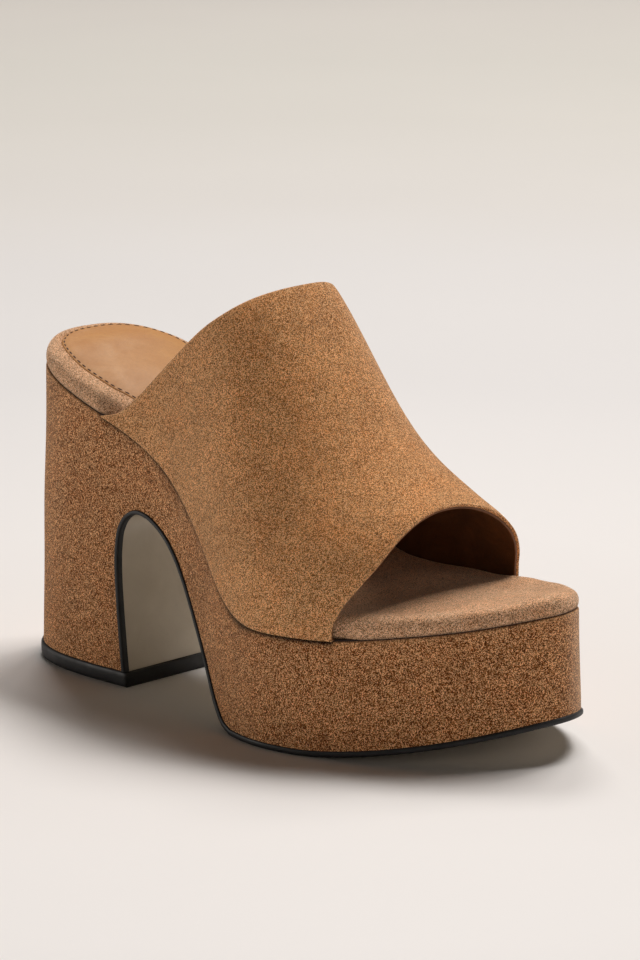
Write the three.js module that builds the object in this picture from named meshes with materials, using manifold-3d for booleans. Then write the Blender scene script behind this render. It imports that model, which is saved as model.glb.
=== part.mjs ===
// Open-toe platform mule for the right foot: block heel and platform in one wrapped unit,
// thin outsole, heel top lift, padded footbed and a one-piece hollow vamp.
// Millimetres. Toe along +X, wearer's left (medial side) along +Y, up along +Z.
import * as THREE from 'three';
import { mergeVertices } from 'three/addons/utils/BufferGeometryUtils.js';
import Module from 'manifold-3d';

const wasm = await Module();
wasm.setup();

// ---------- driving dimensions ----------
const HEEL_BACK = -60.5;       // rearmost point of the seat outline
const TOE_TIP = 166;           // foremost point of the platform outline
const TIP_Y = 12;              // the tip lies towards the medial side
const PLATFORM_SEAM = 40.3;    // height of the footbed seam over the forefoot
const SPRING_START = 98;       // where the sole starts to lift
const TOE_SPRING = 13.5;       // lift of the outsole under the tip
const OUTSOLE_T = 2.1;         // outsole under the forefoot
const SHEET_T = 1.6;           // outsole sheet up the arch and down the breast
const LIFT_H = 5.5;            // heel top lift
const GAP = 0.3;               // clearance between curved neighbours
const BED_T = 8.3;             // footbed edge height
const BED_TOE_DROP = 1.3;      // the edge is lower by this much round the toe
const WALL = 2.2;              // vamp wall
const PROUD = 1.3;             // vamp foot stands outside the platform wall by this much
const OUT_PROUD = 0.7;         // outsole edge stands outside the wrap

// Sole outline at the seam, seen from above: lat towards -Y, med towards +Y.
const OUTLINE = [
  { x: -58.6, lat: 13.5, med: 13.5 },
  { x: -51, lat: 24.5, med: 24.5 },
  { x: -38, lat: 30.6, med: 30.6 },
  { x: -20, lat: 32.6, med: 32.2 },
  { x: 0, lat: 32.2, med: 30.6 },
  { x: 22, lat: 33.0, med: 28.8 },
  { x: 44, lat: 38.4, med: 30.4 },
  { x: 64, lat: 45.6, med: 35.2 },
  { x: 82, lat: 49.2, med: 40.4 },
  { x: 98, lat: 47.0, med: 43.2 },
  { x: 114, lat: 40.8, med: 44.0 },
  { x: 128, lat: 33.6, med: 42.6 },
  { x: 141, lat: 25.0, med: 39.3 },
  { x: 152, lat: 14.5, med: 33.4 },
  { x: 160.5, lat: 2.5, med: 25.6 },
];
// How far the wall has moved outwards at the bottom of the unit.
const FLARE = [
  { x: -61, out: 2.9 }, { x: -30, out: 2.2 }, { x: 0, out: 1.8 }, { x: 40, out: 0.6 },
  { x: 90, out: 0.4 }, { x: 130, out: 1.0 }, { x: 167, out: 1.4 },
];
// Height of the footbed seam along the foot.
const SEAM = [
  { x: -66, z: 111.5 }, { x: -50, z: 107.4 }, { x: -35, z: 103.0 }, { x: -20, z: 98.4 },
  { x: -6.6, z: 94.4 }, { x: 4, z: 90.8 }, { x: 14, z: 86.4 }, { x: 26, z: 79.4 },
  { x: 38, z: 70.0 }, { x: 50, z: 59.2 }, { x: 60, z: 50.2 }, { x: 68, z: 44.4 },
  { x: 76, z: 41.3 }, { x: 86, z: PLATFORM_SEAM }, { x: 110, z: PLATFORM_SEAM + 0.3 },
  { x: 122, z: 41.9 }, { x: 136, z: 44.1 }, { x: 150, z: 46.5 }, { x: 170, z: 51.0 },
];
// Underside from the heel breast over the arch to the forefoot.
const ARCH = [
  { x: 0.2, z: LIFT_H }, { x: -0.6, z: 12 }, { x: -2.2, z: 26 }, { x: -3.4, z: 40 },
  { x: -3.4, z: 50 }, { x: -2.2, z: 56.5 }, { x: 0.8, z: 61.2 }, { x: 5.2, z: 63.5 },
  { x: 10.1, z: 63.2 }, { x: 15.2, z: 61.0 }, { x: 20.6, z: 57.4 }, { x: 26.4, z: 51.9 },
  { x: 33, z: 43.6 }, { x: 40, z: 33.2 }, { x: 46.5, z: 23.2 }, { x: 52.5, z: 13.8 },
  { x: 57.5, z: 6.9 }, { x: 62.5, z: 2.1 }, { x: 68, z: 0 },
];
// Vamp stations from the toe opening (first) to the collar (last).
// lat/med: where the wall stands on the seam; topX/topZ: the ridge; apex: ridge offset to medial; full: section fullness.
const VAMP = [
  { lat: 112, med: 116, topX: 123.5, topZ: 82.3, apex: 0.5, full: 2.05 },
  { lat: 99, med: 104, topX: 113.5, topZ: 86.9, apex: 1.2, full: 2.1 },
  { lat: 85, med: 90, topX: 103.5, topZ: 92.6, apex: 1.6, full: 2.15 },
  { lat: 69, med: 74, topX: 93.5, topZ: 100.6, apex: 1.8, full: 2.25 },
  { lat: 52, med: 56, topX: 83.8, topZ: 111.2, apex: 1.5, full: 2.35 },
  { lat: 34, med: 37, topX: 74.6, topZ: 124.0, apex: 1, full: 2.5 },
  { lat: 13, med: 16, topX: 65.6, topZ: 137.2, apex: 1, full: 2.65 },
  { lat: -12, med: -4, topX: 57, topZ: 147.8, apex: 1, full: 2.8 },
];
// Drop of the collar edge below the straight line, by share of the rise.
const BOW = [
  { rise: 0, lat: 0, med: 0 }, { rise: 0.08, lat: -3.6, med: -3.6 }, { rise: 0.17, lat: -5.5, med: -7.4 },
  { rise: 0.28, lat: -5.0, med: -9.2 }, { rise: 0.42, lat: -3.2, med: -8.6 }, { rise: 0.6, lat: -1.0, med: -6.4 },
  { rise: 0.78, lat: 0.4, med: -3.2 }, { rise: 0.9, lat: 0.4, med: -0.8 }, { rise: 1, lat: 0, med: 0 },
];

// Forward bow of the toe opening's edge, by share of the rise.
const FRONT = [
  { rise: 0, dx: 0 }, { rise: 0.12, dx: -1.5 }, { rise: 0.26, dx: -1.3 }, { rise: 0.45, dx: 0.6 },
  { rise: 0.65, dx: 1.9 }, { rise: 0.85, dx: 1.1 }, { rise: 1, dx: 0 },
];

// ---------- helpers ----------
// Monotone cubic through the named columns of a table.
function column(rows, key, value) {
  const n = rows.length, d = [], m = new Array(n);
  for (let i = 0; i < n - 1; i++) d.push((rows[i + 1][value] - rows[i][value]) / (rows[i + 1][key] - rows[i][key]));
  m[0] = d[0]; m[n - 1] = d[n - 2];
  for (let i = 1; i < n - 1; i++) m[i] = d[i - 1] * d[i] <= 0 ? 0 : 2 * d[i - 1] * d[i] / (d[i - 1] + d[i]);
  return x => {
    if (x <= rows[0][key]) return rows[0][value] + m[0] * (x - rows[0][key]);
    if (x >= rows[n - 1][key]) return rows[n - 1][value] + m[n - 1] * (x - rows[n - 1][key]);
    let i = 0; while (x > rows[i + 1][key]) i++;
    const h = rows[i + 1][key] - rows[i][key], t = (x - rows[i][key]) / h, t2 = t * t, t3 = t2 * t;
    return (2 * t3 - 3 * t2 + 1) * rows[i][value] + (t3 - 2 * t2 + t) * h * m[i]
      + (3 * t2 - 2 * t3) * rows[i + 1][value] + (t3 - t2) * h * m[i + 1];
  };
}
const seamZ = column(SEAM, 'x', 'z');
const flareAt = column(FLARE, 'x', 'out');
const soleZ = x => x <= SPRING_START ? 0 : TOE_SPRING * Math.pow((x - SPRING_START) / (TOE_TIP - SPRING_START), 1.7);

// Closed outline curve: tip, lateral side, heel, medial side.
const ring = [new THREE.Vector3(TOE_TIP, TIP_Y, 0)];
for (const r of [...OUTLINE].reverse()) ring.push(new THREE.Vector3(r.x, -r.lat, 0));
ring.push(new THREE.Vector3(HEEL_BACK, 0, 0));
for (const r of OUTLINE) ring.push(new THREE.Vector3(r.x, r.med, 0));
const outlineCurve = new THREE.CatmullRomCurve3(ring, true, 'centripetal');
const fine = outlineCurve.getSpacedPoints(1600).slice(0, 1600);
const iTip = fine.reduce((b, p, i) => p.x > fine[b].x ? i : b, 0);
const iHeel = fine.reduce((b, p, i) => p.x < fine[b].x ? i : b, 0);
const X0 = fine[iHeel].x, X1 = fine[iTip].x;
function branch(from, to, step) {
  const out = [];
  for (let i = from; ; i = (i + step + fine.length) % fine.length) { out.push(fine[i]); if (i === to) break; }
  return out;
}
const latBranch = branch(iHeel, iTip, -1);
const medBranch = branch(iHeel, iTip, 1);
const sides = latBranch.some(p => p.y < -20) ? { lat: latBranch, med: medBranch } : { lat: medBranch, med: latBranch };
// Outline point and outward normal at a station.
function rimAt(side, x) {
  const pts = sides[side];
  const xx = Math.min(Math.max(x, X0), X1);
  let lo = 0, hi = pts.length - 1;
  while (hi - lo > 1) { const m = (lo + hi) >> 1; if (pts[m].x <= xx) lo = m; else hi = m; }
  const a = pts[lo], b = pts[hi], t = (xx - a.x) / Math.max(b.x - a.x, 1e-9);
  const a0 = pts[Math.max(lo - 6, 0)], b0 = pts[Math.min(hi + 6, pts.length - 1)];
  let nx = -(b0.y - a0.y), ny = b0.x - a0.x;
  if (side === 'lat') { nx = -nx; ny = -ny; }
  if (xx <= X0 + 1e-6) { nx = -1; ny = 0; }
  if (xx >= X1 - 1e-6) { nx = 1; ny = 0; }
  const l = Math.hypot(nx, ny);
  return { x: a.x + (b.x - a.x) * t, y: a.y + (b.y - a.y) * t, nx: nx / l, ny: ny / l };
}
// Offset outline point: out > 0 is outside.
function edgePoint(side, x, out, z) {
  const r = rimAt(side, x);
  return [r.x + r.nx * out, r.y + r.ny * out, z];
}
// Flare grows from 0 at the seam to its full value at the floor.
const flareAtZ = (x, z) => flareAt(x) * Math.min(Math.max((seamZ(x) - z) / (seamZ(x) - soleZ(x)), 0), 1);

const smooth = (a, b, v) => { const t = Math.min(Math.max((v - a) / (b - a), 0), 1); return t * t * (3 - 2 * t); };

// Stations, close together at the round ends.
function stations(x0, x1, n, closeStart, closeEnd) {
  const out = [];
  for (let i = 0; i <= n; i++) {
    let t = i / n;
    if (closeStart && closeEnd) t = (1 - Math.cos(Math.PI * t)) / 2;
    else if (closeEnd) t = Math.sin(Math.PI / 2 * t);
    else if (closeStart) t = 1 - Math.cos(Math.PI / 2 * t);
    out.push(x0 + (x1 - x0) * t);
  }
  return out;
}

// Solid from rings of equal point count; both ends are closed with a fan when they are not degenerate.
function loft(rings) {
  const pos = [], idx = [], n = rings[0].length;
  for (const r of rings) for (const p of r) pos.push(p[0], p[1], p[2]);
  for (let i = 0; i < rings.length - 1; i++) for (let j = 0; j < n; j++) {
    const a = i * n + j, b = i * n + (j + 1) % n, c = a + n, d = b + n;
    idx.push(a, b, d, a, d, c);
  }
  const cap = (base, flip) => {
    // strips between the first and second half of the ring keep the caps flat-sided
    const h = n / 2;
    for (let j = 0; j < h - 1; j++) {
      const a = base + j, b = base + j + 1, c = base + n - 1 - j, d = base + n - 2 - j;
      if (flip) idx.push(a, c, d, a, d, b); else idx.push(a, d, c, a, b, d);
    }
  };
  cap(0, true); cap((rings.length - 1) * n, false);
  return clean(pos, idx);
}

// Weld, drop flat triangles, face outwards.
function clean(pos, idx) {
  let g = new THREE.BufferGeometry();
  g.setAttribute('position', new THREE.Float32BufferAttribute(pos, 3));
  g.setIndex(idx);
  g = mergeVertices(g, 1e-4);
  const p = g.attributes.position, src = g.index.array, keep = [];
  for (let i = 0; i < src.length; i += 3) if (src[i] !== src[i + 1] && src[i + 1] !== src[i + 2] && src[i] !== src[i + 2]) keep.push(src[i], src[i + 1], src[i + 2]);
  let vol = 0;
  const a = new THREE.Vector3(), b = new THREE.Vector3(), c = new THREE.Vector3();
  for (let i = 0; i < keep.length; i += 3) {
    a.fromBufferAttribute(p, keep[i]); b.fromBufferAttribute(p, keep[i + 1]); c.fromBufferAttribute(p, keep[i + 2]);
    vol += a.dot(b.cross(c));
  }
  if (vol < 0) for (let i = 0; i < keep.length; i += 3) { const t = keep[i]; keep[i] = keep[i + 1]; keep[i + 1] = t; }
  g.setIndex(keep);
  return g;
}
function solid(geometry) {
  let g = geometry.clone();
  g.deleteAttribute('normal'); g.deleteAttribute('uv');
  g = mergeVertices(g, 1e-4);
  return new wasm.Manifold(new wasm.Mesh({
    numProp: 3,
    vertProperties: new Float32Array(g.attributes.position.array),
    triVerts: new Uint32Array(g.index.array),
  }));
}
function geometryOf(man) {
  const m = man.getMesh();
  const g = new THREE.BufferGeometry();
  const pos = new Float32Array(m.vertProperties.length / m.numProp * 3);
  for (let i = 0; i < pos.length / 3; i++) for (let k = 0; k < 3; k++) pos[i * 3 + k] = m.vertProperties[i * m.numProp + k];
  g.setAttribute('position', new THREE.BufferAttribute(pos, 3));
  g.setIndex([...m.triVerts]);
  return g;
}

// ---------- underside line ----------
const archCurve = new THREE.CatmullRomCurve3(ARCH.map(r => new THREE.Vector3(r.x, 0, r.z)), false, 'centripetal');
const archPts = archCurve.getSpacedPoints(64).map(p => ({ x: p.x, z: p.z }));
// Unit normals of an x-z polyline, pointing into the shoe.
function inward(pts) {
  return pts.map((p, i) => {
    const a = pts[Math.max(i - 1, 0)], b = pts[Math.min(i + 1, pts.length - 1)];
    const dx = b.x - a.x, dz = b.z - a.z, l = Math.hypot(dx, dz);
    return { x: -dz / l, z: dx / l };
  });
}
// Offset line of the underside, by a thickness that grows from the arch to the forefoot.
const sheetT = x => SHEET_T + (OUTSOLE_T - SHEET_T) * smooth(44, 69, x);
function offsetLine(pts, extra) {
  const nn = inward(pts);
  return pts.map((p, i) => ({ x: p.x + nn[i].x * (sheetT(p.x) + extra), z: p.z + nn[i].z * (sheetT(p.x) + extra) }));
}

// ---------- wrapped heel and platform unit ----------
function makeUnit() {
  const xs = [...stations(X0, 0, 16, true, false), ...stations(0, X1, 52, false, true).slice(1)];
  const levels = [0, 0.12, 0.35, 0.65, 1];
  const bottom = x => x < 12 ? LIFT_H : soleZ(x) + OUTSOLE_T + GAP;
  const rings = xs.map(x => {
    const zb = bottom(x), zt = seamZ(x), low = [], high = [];
    for (const f of levels) {
      const z = zb + (zt - zb) * f;
      low.push(edgePoint('lat', x, flareAtZ(x, z), z));
      high.push(edgePoint('med', x, flareAtZ(x, z), z));
    }
    return [...low, ...high.reverse()];
  });
  const body = solid(loft(rings));
  const line = offsetLine(archPts, GAP);
  const shape = new THREE.Shape();
  shape.moveTo(line[0].x + 0.0, -30);
  for (const p of line) shape.lineTo(p.x, p.z);
  const last = line[line.length - 1];
  shape.lineTo(last.x + 3, last.z);
  shape.lineTo(last.x + 3, -30);
  shape.closePath();
  const cut = new THREE.ExtrudeGeometry(shape, { depth: 160, bevelEnabled: false, steps: 1 });
  cut.rotateX(Math.PI / 2);
  cut.translate(0, 80, 0);
  return geometryOf(body.subtract(solid(cut)));
}

// ---------- outsole sheet ----------
function makeOutsole() {
  const first = archPts.map(p => ({ ...p }));
  const foreXs = stations(68, X1, 30, false, true).slice(1);
  const under = [...first, ...foreXs.map(x => ({ x, z: soleZ(x) }))];
  const over = offsetLine(under, 0);
  over[0] = { x: under[0].x - SHEET_T, z: under[0].z };
  const rings = under.map((p, i) => {
    const q = over[i];
    const xq = i > first.length ? p.x : q.x;
    const op = flareAtZ(p.x, p.z) + OUT_PROUD, oq = flareAtZ(xq, q.z) + OUT_PROUD;
    const a = edgePoint('lat', p.x, op - 0.25, p.z), b = edgePoint('med', p.x, op - 0.25, p.z);
    const c = edgePoint('med', xq, oq, q.z), d = edgePoint('lat', xq, oq, q.z);
    return [a, d, c, b];
  });
  return loft(rings);
}

// ---------- heel top lift ----------
function makeTopLift() {
  const xs = stations(X0, 0.9, 22, true, false);
  const rings = xs.map(x => {
    const f = flareAtZ(x, 3);
    return [
      edgePoint('lat', x, f + 0.2, 0), edgePoint('lat', x, f + 0.8, 0.8), edgePoint('lat', x, f + 0.8, LIFT_H),
      edgePoint('med', x, f + 0.8, LIFT_H), edgePoint('med', x, f + 0.8, 0.8), edgePoint('med', x, f + 0.2, 0),
    ];
  });
  return loft(rings);
}

// ---------- footbed ----------
// Side profile of the footbed edge: out from the outline, share of the edge height.
const BED_EDGE = [
  { out: -0.9, up: 0 }, { out: -0.1, up: 0.16 }, { out: 0.1, up: 0.42 }, { out: -0.5, up: 0.7 }, { out: -2.0, up: 0.92 }, { out: -4.4, up: 1.02 },
];
const bedInset = (side, x) => 1.35 * smooth(-14, -5, x) * (1 - smooth(side === 'lat' ? 113 : 120.5, side === 'lat' ? 121 : 128, x)) + 0.15;
const bedHeight = x => BED_T - GAP - BED_TOE_DROP * smooth(116, 140, x);
const bedCrown = x => 2.6 * (1 - smooth(-30, 30, x)) + 1.2;
function makeFootbed() {
  const xs = [...stations(X0, 20, 18, true, false), ...stations(20, X1, 40, false, true).slice(1)];
  const rings = xs.map(x => {
    const lat = [], med = [];
    for (const e of BED_EDGE) for (const [side, list] of [['lat', lat], ['med', med]]) {
      const p = edgePoint(side, x, e.out - bedInset(side, x), 0);
      p[2] = seamZ(p[0]) + GAP + e.up * bedHeight(p[0]);
      list.push(p);
    }
    const a = lat[lat.length - 1], b = med[med.length - 1];
    const top = f => [a[0] + (b[0] - a[0]) * f, a[1] + (b[1] - a[1]) * f, a[2] + bedCrown(x) * 4 * f * (1 - f) * Math.min(1, Math.abs(b[1] - a[1]) / 30)];
    return [...lat, top(0.2), top(0.4), top(0.6), top(0.8), ...med.reverse()];
  });
  return loft(rings);
}

// ---------- vamp ----------
const vampKeys = VAMP.map((r, i) => ({ ...r, t: i / (VAMP.length - 1) }));
const vampCol = Object.fromEntries(['lat', 'med', 'topX', 'topZ', 'apex', 'full'].map(k => [k, column(vampKeys, 't', k)]));
const bow = { lat: column(BOW, 'rise', 'lat'), med: column(BOW, 'rise', 'med') };
const frontBow = column(FRONT, 'rise', 'dx');
// Outer surface: t from toe opening (0) to collar (1), turn from lateral seam (0) to medial seam (1).
function vampPoint(t, turn) {
  const th = Math.PI * turn, e = 2 / vampCol.full(t);
  const s = Math.sin(th), c = Math.cos(th);
  const rise = Math.pow(Math.max(s, 0), e), across = Math.sign(c) * Math.pow(Math.abs(c), e);
  const side = c > 0 ? 'lat' : 'med';
  const bx = vampCol[side](t), bz = seamZ(bx) + GAP;
  const back = Math.pow(t, 1.4), front = Math.pow(1 - t, 3);
  const x = bx + (vampCol.topX(t) - bx) * rise + front * frontBow(rise);
  const z = bz + (vampCol.topZ(t) - bz) * rise + bow[side](rise) * back;
  const r = rimAt(side, x);
  const edge = Math.abs(r.y) + PROUD;
  const ap = vampCol.apex(t);
  const y = side === 'lat' ? ap - (edge + ap) * across : ap - (edge - ap) * across;
  return new THREE.Vector3(x, y, z);
}
function vampTurns(n) {
  const out = [];
  for (let i = 0; i <= n; i++) out.push(i / n);
  return out;
}
function makeVamp() {
  const turns = vampTurns(44), ts = [];
  for (let i = 0; i <= 26; i++) ts.push(i / 26);
  const outer = ts.map(t => turns.map(u => vampPoint(t, u)));
  const inner = ts.map((t, i) => turns.map((u, j) => {
    const du = 0.004, dt = 0.004;
    const u0 = Math.max(u - du, 0), u1 = Math.min(u + du, 1), t0 = Math.max(t - dt, 0), t1 = Math.min(t + dt, 1);
    const pu = vampPoint(t, u1).sub(vampPoint(t, u0)), pt = vampPoint(t1, u).sub(vampPoint(t0, u));
    const n = pu.cross(pt).normalize();
    const centre = new THREE.Vector3(vampCol.topX(t) - 20, 0, seamZ(vampCol.lat(t)) + 10);
    if (n.dot(outer[i][j].clone().sub(centre)) < 0) n.negate();
    if (u === 0 || u === 1) { n.z = 0; n.x = 0; n.normalize(); }
    const p = outer[i][j].clone().addScaledVector(n, -WALL);
    return p;
  }));
  const N = turns.length, T = ts.length, pos = [], idx = [];
  for (const grid of [outer, inner]) for (const row of grid) for (const p of row) pos.push(p.x, p.y, p.z);
  const O = (i, j) => i * N + j, I = (i, j) => T * N + i * N + j;
  const quad = (a, b, c, d) => idx.push(a, b, c, a, c, d);
  for (let i = 0; i < T - 1; i++) for (let j = 0; j < N - 1; j++) {
    quad(O(i, j), O(i, j + 1), O(i + 1, j + 1), O(i + 1, j));
    quad(I(i, j), I(i + 1, j), I(i + 1, j + 1), I(i, j + 1));
  }
  for (let j = 0; j < N - 1; j++) {
    quad(O(0, j), I(0, j), I(0, j + 1), O(0, j + 1));
    quad(O(T - 1, j), O(T - 1, j + 1), I(T - 1, j + 1), I(T - 1, j));
  }
  for (let i = 0; i < T - 1; i++) {
    quad(O(i, 0), O(i + 1, 0), I(i + 1, 0), I(i, 0));
    quad(O(i, N - 1), I(i, N - 1), I(i + 1, N - 1), O(i + 1, N - 1));
  }
  return clean(pos, idx);
}

// ---------- assembly ----------
const parts = [
  ['outsole', makeOutsole(), 0x1b1c1e, 0.6],
  ['top_lift', makeTopLift(), 0x17181a, 0.55],
  ['platform_heel', makeUnit(), 0x9b7350, 0.95],
  ['footbed', makeFootbed(), 0xa47c57, 0.92],
  ['upper', makeVamp(), 0xa27952, 0.95],
];
const box = new THREE.Box3();
for (const [, g] of parts) { g.computeBoundingBox(); box.union(g.boundingBox); }
const shift = [-(box.min.x + box.max.x) / 2, -(box.min.y + box.max.y) / 2, -box.min.z];
const group = new THREE.Group();
group.name = 'platform_mule_right';
for (const [name, g, color, roughness] of parts) {
  g.translate(...shift);
  g.computeVertexNormals();
  const mesh = new THREE.Mesh(g, new THREE.MeshStandardMaterial({ color, roughness, metalness: 0 }));
  mesh.name = name;
  group.add(mesh);
}
export default group;
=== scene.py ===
import math

import bpy
import bmesh
import numpy as np
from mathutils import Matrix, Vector
from mathutils.bvhtree import BVHTree

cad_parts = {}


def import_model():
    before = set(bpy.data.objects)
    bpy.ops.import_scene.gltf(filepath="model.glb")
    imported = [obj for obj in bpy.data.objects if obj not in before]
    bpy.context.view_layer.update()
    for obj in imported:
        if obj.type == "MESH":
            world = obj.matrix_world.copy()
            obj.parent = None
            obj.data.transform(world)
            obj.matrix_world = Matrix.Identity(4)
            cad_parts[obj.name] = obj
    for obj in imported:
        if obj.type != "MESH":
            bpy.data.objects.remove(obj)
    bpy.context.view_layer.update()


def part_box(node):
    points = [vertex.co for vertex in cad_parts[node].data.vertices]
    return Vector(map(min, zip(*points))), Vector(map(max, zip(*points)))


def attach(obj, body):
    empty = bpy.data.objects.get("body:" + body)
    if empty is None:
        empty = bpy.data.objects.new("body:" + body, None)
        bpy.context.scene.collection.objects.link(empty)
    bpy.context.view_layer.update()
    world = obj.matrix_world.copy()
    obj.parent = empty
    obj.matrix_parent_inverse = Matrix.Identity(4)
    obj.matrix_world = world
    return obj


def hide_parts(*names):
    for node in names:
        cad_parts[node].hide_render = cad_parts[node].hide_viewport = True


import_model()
MM = 0.001

# ------------------------------------------------------------------ tables (mm, x from the heel breast, toe +)
HEEL_BACK, TOE_TIP, TIP_Y = -60.5, 166.0, 12.0
PLATFORM_SEAM, SPRING_START, TOE_SPRING = 40.3, 98.0, 13.5
OUTSOLE_T, SHEET_T, LIFT_H, GAP, BED_T, WALL, PROUD, OUT_PROUD = 2.1, 1.6, 5.5, 0.3, 8.3, 2.2, 1.3, 0.7
BED_TOE_DROP = 1.3
# x, lateral, medial
OUTLINE = [(-58.6, 13.5, 13.5), (-51, 24.5, 24.5), (-38, 30.6, 30.6), (-20, 32.6, 32.2), (0, 32.2, 30.6), (22, 33.0, 28.8),
           (44, 38.4, 30.4), (64, 45.6, 35.2), (82, 49.2, 40.4), (98, 47.0, 43.2), (114, 40.8, 44.0), (128, 33.6, 42.6),
           (141, 25.0, 39.3), (152, 14.5, 33.4), (160.5, 2.5, 25.6)]
# x, outward move of the wall at floor level
FLARE = [(-61, 2.9), (-30, 2.2), (0, 1.8), (40, 0.6), (90, 0.4), (130, 1.0), (167, 1.4)]
# x, height of the footbed seam
SEAM = [(-66, 111.5), (-50, 107.4), (-35, 103.0), (-20, 98.4), (-6.6, 94.4), (4, 90.8), (14, 86.4), (26, 79.4), (38, 70.0),
        (50, 59.2), (60, 50.2), (68, 44.4), (76, 41.3), (86, PLATFORM_SEAM), (110, PLATFORM_SEAM + 0.3), (122, 41.9), (136, 44.1),
        (150, 46.5), (170, 51.0)]
# x, z of the underside from the breast over the arch to the forefoot
ARCH = [(0.2, LIFT_H), (-0.6, 12), (-2.2, 26), (-3.4, 40), (-3.4, 50), (-2.2, 56.5), (0.8, 61.2), (5.2, 63.5), (10.1, 63.2),
        (15.2, 61.0), (20.6, 57.4), (26.4, 51.9), (33, 43.6), (40, 33.2), (46.5, 23.2), (52.5, 13.8), (57.5, 6.9), (62.5, 2.1), (68, 0)]
# vamp stations, toe opening to collar: lateral foot x, medial foot x, ridge x, ridge z, ridge offset, fullness
VAMP = [(112, 116, 123.5, 82.3, 0.5, 2.05), (99, 104, 113.5, 86.9, 1.2, 2.1), (85, 90, 103.5, 92.6, 1.6, 2.15),
        (69, 74, 93.5, 100.6, 1.8, 2.25), (52, 56, 83.8, 111.2, 1.5, 2.35), (34, 37, 74.6, 124.0, 1.0, 2.5),
        (13, 16, 65.6, 137.2, 1.0, 2.65), (-12, -4, 57.0, 147.8, 1.0, 2.8)]
# rise, drop of the collar edge on the lateral side, on the medial side
BOW = [(0, 0, 0), (0.08, -3.6, -3.6), (0.17, -5.5, -7.4), (0.28, -5.0, -9.2), (0.42, -3.2, -8.6), (0.6, -1.0, -6.4),
       (0.78, 0.4, -3.2), (0.9, 0.4, -0.8), (1, 0, 0)]
# rise, forward bow of the toe opening
FRONT = [(0, 0), (0.12, -1.5), (0.26, -1.3), (0.45, 0.6), (0.65, 1.9), (0.85, 1.1), (1, 0)]
# footbed edge profile: out, up
BED_EDGE = [(-0.50, 0), (0.0, 0.13), (0.12, 0.34), (-0.12, 0.56), (-0.85, 0.78), (-2.2, 0.94), (-4.4, 1.02)]


# ------------------------------------------------------------------ curve helpers
def column(rows, k):
    xs = np.array([r[0] for r in rows], float)
    ys = np.array([r[k] for r in rows], float)
    d = np.diff(ys) / np.diff(xs)
    n = len(xs)
    m = np.empty(n)
    m[0], m[-1] = d[0], d[-1]
    for i in range(1, n - 1):
        m[i] = 0 if d[i - 1] * d[i] <= 0 else 2 * d[i - 1] * d[i] / (d[i - 1] + d[i])

    def f(x):
        x = np.asarray(x, float)
        i = np.clip(np.searchsorted(xs, x, side="right") - 1, 0, n - 2)
        h = xs[i + 1] - xs[i]
        t = np.clip((x - xs[i]) / h, 0, 1)
        v = ((2 * t ** 3 - 3 * t ** 2 + 1) * ys[i] + (t ** 3 - 2 * t ** 2 + t) * h * m[i]
             + (3 * t ** 2 - 2 * t ** 3) * ys[i + 1] + (t ** 3 - t ** 2) * h * m[i + 1])
        v = np.where(x < xs[0], ys[0] + m[0] * (x - xs[0]), v)
        return np.where(x > xs[-1], ys[-1] + m[-1] * (x - xs[-1]), v)
    return f


def gauss(a, sigma, closed=False):
    """Smooths along axis 0; sigma in samples."""
    r = int(4 * sigma) + 1
    k = np.exp(-0.5 * (np.arange(-r, r + 1) / sigma) ** 2)
    k /= k.sum()
    a = np.asarray(a, float)
    if closed:
        p = np.concatenate([a[-r:], a, a[:r]])
    else:
        head = 2 * a[:1] - a[1:r + 1][::-1]
        tail = 2 * a[-1:] - a[-r - 1:-1][::-1]
        p = np.concatenate([head, a, tail])
    if p.ndim == 1:
        return np.convolve(p, k, "valid")
    return np.stack([np.convolve(p[:, c], k, "valid") for c in range(p.shape[1])], 1)


def softened(f, lo, hi, sigma):
    """The same function with its curvature steps softened."""
    step = (hi - lo) / 2000
    xs = lo + step * np.arange(2001)
    ys = gauss(f(xs), sigma / step)
    a, b = (ys[1] - ys[0]) / step, (ys[-1] - ys[-2]) / step

    def g(x):
        x = np.asarray(x, float)
        v = np.interp(x, xs, ys)
        v = np.where(x < lo, ys[0] + a * (x - lo), v)
        return np.where(x > hi, ys[-1] + b * (x - hi), v)
    return g


def smooth(a, b, v):
    t = np.clip((np.asarray(v, float) - a) / (b - a), 0, 1)
    return t * t * (3 - 2 * t)


def catmull(pts, closed, per):
    """Centripetal Catmull-Rom through pts, per samples for each span."""
    pts = np.asarray(pts, float)
    n = len(pts)
    out = []
    for i in range(n if closed else n - 1):
        p1, p2 = pts[i], pts[(i + 1) % n]
        p0 = pts[(i - 1) % n] if closed or i > 0 else 2 * p1 - p2
        p3 = pts[(i + 2) % n] if closed or i < n - 2 else 2 * p2 - p1
        d0, d1, d2 = (max(np.linalg.norm(b - a) ** 0.5, 1e-6) for a, b in ((p0, p1), (p1, p2), (p2, p3)))
        t1 = ((p1 - p0) / d0 - (p2 - p0) / (d0 + d1) + (p2 - p1) / d1) * d1
        t2 = ((p2 - p1) / d1 - (p3 - p1) / (d1 + d2) + (p3 - p2) / d2) * d1
        s = (np.arange(per) / per)[:, None]
        out.append(p1 + t1 * s + (-3 * p1 + 3 * p2 - 2 * t1 - t2) * s ** 2 + (2 * p1 - 2 * p2 + t1 + t2) * s ** 3)
    if not closed:
        out.append(pts[-1:])
    return np.concatenate(out)


def resample(path, count, closed=False):
    p = np.concatenate([path, path[:1]]) if closed else path
    s = np.concatenate([[0], np.cumsum(np.linalg.norm(np.diff(p, axis=0), axis=1))])
    t = np.linspace(0, s[-1], count + 1)[:-1] if closed else np.linspace(0, s[-1], count)
    return np.stack([np.interp(t, s, p[:, c]) for c in range(p.shape[1])], 1)


seam_z = softened(column(SEAM, 1), -66, 170, 2.2)
flare_x = softened(column(FLARE, 1), -64, 170, 5)
bow_lat, bow_med, front_bow = column(BOW, 1), column(BOW, 2), column(FRONT, 1)


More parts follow.
